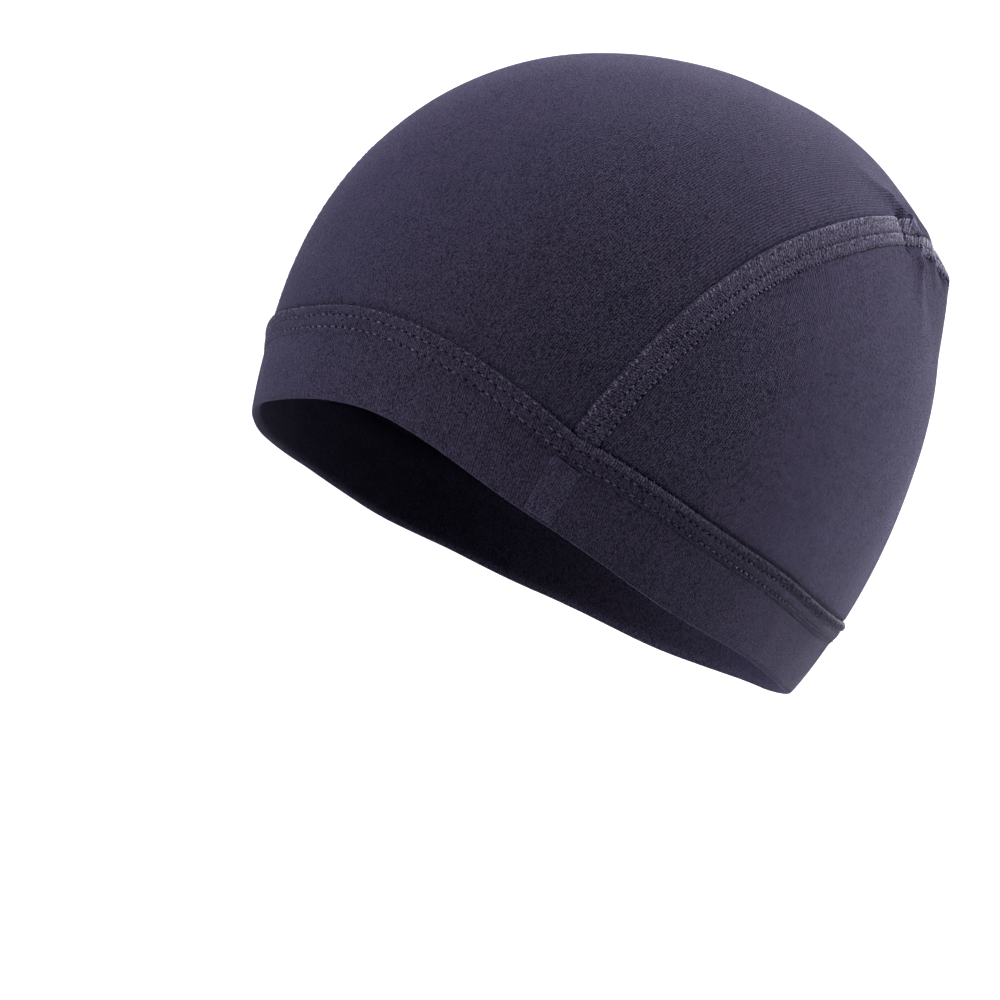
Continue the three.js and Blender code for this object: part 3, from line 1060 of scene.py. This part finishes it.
weltStitch = {
    "along": stripStitch["along"] * welt["stitchLength"],
    "out": np.array([-0.24, 0.07, 0.14, 0.07, -0.24]),
    "thick": np.array([0.45, 0.95, 1, 0.95, 0.45]) * welt["stitchRadius"],
}
weltWrap = {
    "height": np.array([20.15, 20.5, 20.9, 21.3, 21.65, 21.9, 22.05]),
    "out": np.array([-0.12, 0.0, 0.02, 0.03, 0.05, 0.08, -0.02]),
    "lean": np.array([-0.16, -0.1, -0.03, 0.04, 0.1, 0.17, 0.24]),
    "longer": np.array([0, 0, 0, 0, 0.2, 0.7, 1]) * 0.28,
    "sunk": np.array([1, 1, 1, 1, 0.8, 0.2, 0]),
    "thick": np.array([0.5, 0.9, 1, 1, 1.05, 1.1, 0.7]) * welt["wrapRadius"],
}


def weltShare(turn):
    near, far = welt["flatReach"]
    away = np.clip((np.abs(turn - welt["flatMiddle"]) - near) / (far - near), 0, 1)
    return 1 - welt["flatter"] * (1 - away)


def buildBandWelt():
    heights = np.arange(15.85, 21.6, welt["rowStep"])
    heights = np.r_[15.62, 15.7, heights, 21.65, 21.78, 21.88, 21.95, 22.0][::-1]
    section = [(height, float(weltOut(height))) for height in heights]
    section += [(15.64, -0.5), (15.7, -1.4), (16.0, -1.86)] + straight(17, 21, 7, -1.9)
    section += [(21.7, -1.84), (21.98, -1.2), (22.0, -0.5)]

    def bites(turn, height, out):
        # each stitch pulls its row in a little
        pull = (0.5 + 0.5 * np.cos(ringLength(turn) * 2 * np.pi / weltPitch)) ** 2
        rows = sum(np.exp(-((height - row) / welt["biteWidth"]) ** 2) for row in weltRows)
        bite = welt["bite"] * pull * rows * (out > 0)
        return (weltShare(turn) - 1) * np.maximum(out, 0) - bite

    mesh = ringPiece("bandWelt", section, welt["ringSteps"], bites)
    return finishPiece(mesh, weltCloth, "band_welt")


def buildWeltThreads():
    random = np.random.default_rng(5)

    def weltPath(length, height, out):
        turn = turnAtLength(length)
        return onCloth(bandPoint(turn, height), weltOut(height) * weltShare(turn) + out)

    paths, radii = [], []
    count = round(ringArc[-1] / weltPitch)
    for row in weltRows:
        middles = (np.arange(count)[:, None] + 0.5) * weltPitch + draw(random, -0.06, 0.06, count)
        length = middles + weltStitch["along"] * draw(random, 0.8, 1.15, count)
        radii.append(weltStitch["thick"] * draw(random, 0.7, 1.1, count))
        height = row + weltStitch["along"] * 0.05 + draw(random, -0.06, 0.06, count)
        paths.append(weltPath(length, height, weltStitch["out"]))
    # over the forehead the edge shows as one more line of short stitches
    middles = (np.arange(count)[:, None] + 0.2) * weltPitch + draw(random, -0.15, 0.15, count)
    shown = np.abs(turnAtLength(middles) - welt["edgeMiddle"]) < welt["edgeReach"]
    middles, count = middles[shown[:, 0]], shown.sum()
    length = middles + weltStitch["along"] * 0.85 * draw(random, 0.7, 1.2, count)
    height = welt["edgeRow"] + draw(random, -0.08, 0.08, count) + 0 * length
    radii.append(weltStitch["thick"] * 0.8 * draw(random, 0.7, 1.1, count))
    paths.append(weltPath(length, height, weltStitch["out"] - 0.02))
    stitches = threadPiece("weltStitches", paths, radii, sewingThread)

    # overlock threads side by side over the raw edge, every third one with a longer loop
    total, count = ringArc[-1], int(ringArc[-1] / welt["wrapPitch"])
    middles = (np.arange(count)[:, None] + 0.5) * total / count + draw(random, -0.07, 0.07, count)
    longer = (np.arange(count)[:, None] % 3 == 0) * weltWrap["longer"]
    heights = weltWrap["height"] + longer + draw(random, -0.06, 0.06, count)
    turn = turnAtLength(np.clip(middles + weltWrap["lean"], 0, total))
    # over the forehead they lie deeper in the cloth, with only their tops in sight
    sunk = 1 - softStep(np.abs(turn - welt["flatMiddle"]), *welt["sunkReach"])
    out = weltOut(np.minimum(heights, welt["wrapTop"])) * weltShare(turn) + weltWrap["out"]
    out = out - 0.3 * longer - welt["wrapSunk"] * weltWrap["sunk"] * sunk
    paths, radii = [onCloth(bandPoint(turn, heights), out)], [weltWrap["thick"]]
    return [stitches, threadPiece("weltOverlock", paths, radii, edgeThread, sides=5)]


bandSeam = {
    "low": 0.9,  # mm above the rim
    "proud": 0.26,
    "groove": 0.12,
    "grooveWidth": 0.5,
    "roundWidth": 1.4,
    "roundEnd": 0.07,  # share of its height
    "skin": 0.03,  # mm that its edges lie above the band
    "rows": 30,
    "columns": 12,
}


def buildBandSeam(side, label, front):
    half = stripWidth / 2
    edge = half - np.array([0, 0.1, 0.25, 0.45, 0.7])
    offsets = np.r_[-edge, np.linspace(1 - half, half - 1, bandSeam["columns"]), edge[::-1]]
    top, acrossAt = weltFoot - 0.1, besideSeam(side, offsets)

    def seamLow(turn):
        return rimHeight(turn) + bandSeam["low"]

    def seamTop(turn):
        return rimHeight(turn) + weltShift(turn) + top

    low, high = (overAtHeight(acrossAt, end, front, offsets.shape) for end in (seamLow, seamTop))
    share = np.linspace(0, 1, bandSeam["rows"] + 1)[:, None]
    over = low + (high - low) * share
    p = overCrown(over, acrossAt(over))
    fromEdge = np.clip((half - np.abs(offsets)) / bandSeam["roundWidth"], 0, 1)
    rounded = np.sqrt(1 - (1 - fromEdge) ** 2)
    rounded = rounded * np.clip(share / bandSeam["roundEnd"], 0, 1) ** 0.5
    groove = bandSeam["groove"] * np.exp(-(offsets / bandSeam["grooveWidth"]) ** 2)
    ripple = hemWaves(turnOf(p), share * top, 0)
    outer = onCloth(p, bandSeam["skin"] + (bandSeam["proud"] - groove) * rounded + ripple)
    inner = onCloth(p, 0.02 + ripple)
    weave = np.stack([np.broadcast_to(offsets, over.shape), crownLength(over)], -1)
    end = "Front" if front else "Back"
    mesh = sheetBetween(f"bandSeam{end}{label}", outer, inner, weave, edges=1)
    node = f"band_seam_{end}_{label}".lower()
    return finishPiece(mesh, bandSeamCloth, node)


rimBand = buildRimBand()
bandWelt = buildBandWelt()
weltThreads = buildWeltThreads()
bandSeams = [buildBandSeam(*side, front) for side in bothSides for front in (True, False)]
print("hem: folded band, welt, stitches and band seams")


# Camera, light and floor

view = {
    "place": Vector((0.3010, -0.5510, 0.05955)),
    "azimuth": 30.244,
    "elevation": 15.614,
    "roll": 16.913,
    "sensor": 36,
    "focalPixels": 2600,
    "imageWidth": 1000,
}


def buildCamera():
    azimuth, elevation, roll = np.radians([view["azimuth"], view["elevation"], view["roll"]])
    flat = np.cos(elevation)
    back = Vector((np.sin(azimuth) * flat, -np.cos(azimuth) * flat, np.sin(elevation)))
    level = Vector((0, 0, 1)).cross(back).normalized()
    data = bpy.data.cameras.new("camera")
    data.sensor_width = view["sensor"]
    data.lens = view["sensor"] * view["focalPixels"] / view["imageWidth"]
    data.clip_start, data.clip_end = 0.01, 100
    camera = addToScene("camera", data)
    turned = Matrix((level, back.cross(level), back)).transposed() @ Matrix.Rotation(roll, 3, "Z")
    camera.matrix_world = Matrix.Translation(view["place"]) @ turned.to_4x4()
    bpy.context.scene.camera = camera


studio = {
    "floorHeight": -0.55,
    "floorSize": 30.0,
    "floorColour": (0.9, 0.9, 0.9),
    "floorRoughness": 0.9,
    "ambient": 0.05,
}

# bright parts of the surroundings, seen from the cap; each fades out at "reach", a cosine
glows = [
    {"toward": (-0.1, 0.99, 0.05), "reach": 0.5, "strength": 5.8},
    {"toward": (0.2, 0.6, 0.77), "reach": 0.2, "strength": 1.8},
    {"toward": (-0.67, 0.72, -0.18), "reach": 0.5, "strength": 0.9},
    {"toward": (-0.6, -0.7, -0.35), "reach": 0.5, "strength": 2.25},
]

# a wide soft light, by where it stands from the cap
lamp = {"from": (0.3, 0.5, 0.8), "width": 70.0, "strength": 1.1}


def buildWorld():
    world = bpy.data.worlds.new("studio")
    world.use_nodes = True
    tree = world.node_tree
    direction = newNode(tree, "ShaderNodeTexCoord").outputs["Generated"]
    brightness = studio["ambient"]
    for glow in glows:
        inputs = {0: direction, 1: Vector(glow["toward"]).normalized()}
        share = newNode(tree, "ShaderNodeVectorMath", inputs, operation="DOT_PRODUCT")
        inputs = {"From Min": glow["reach"], "To Max": glow["strength"]}
        inputs["Value"] = share.outputs["Value"]
        soft = newNode(tree, "ShaderNodeMapRange", inputs, interpolation_type="SMOOTHSTEP")
        brightness = reckonIn(tree)("ADD", soft.outputs["Result"], brightness)
    feed(tree, tree.nodes["Background"], {"Color": (1, 1, 1, 1), "Strength": brightness})
    bpy.context.scene.world = world
    bpy.context.scene.view_settings.view_transform = "Standard"


def buildLamp():
    data = bpy.data.lights.new("softAbove", "SUN")
    data.angle, data.energy = np.radians(lamp["width"]), lamp["strength"]
    light = addToScene("softAbove", data)
    light.rotation_euler = Vector(lamp["from"]).to_track_quat("Z", "Y").to_euler()


def buildFloor():
    half, z = studio["floorSize"] / 2, studio["floorHeight"]
    corners = [(x * half, y * half, z) for x, y in ((-1, -1), (1, -1), (1, 1), (-1, 1))]
    mesh = bpy.data.meshes.new("floor")
    mesh.from_pydata(corners, [], [(0, 1, 2, 3)])
    pale = bpy.data.materials.new("paleFloor")
    pale.use_nodes = True
    colour = (*studio["floorColour"], 1)
    finish = {"Base Color": colour, "Roughness": studio["floorRoughness"]}
    feed(pale.node_tree, pale.node_tree.nodes["Principled BSDF"], finish)
    mesh.materials.append(pale)
    floor = addToScene("floor", mesh)
    # it lights the cap no more than the surroundings do
    floor.visible_diffuse = floor.visible_shadow = False


buildCamera()
buildWorld()
buildLamp()
buildFloor()
print("studio: camera, soft light and a pale floor")
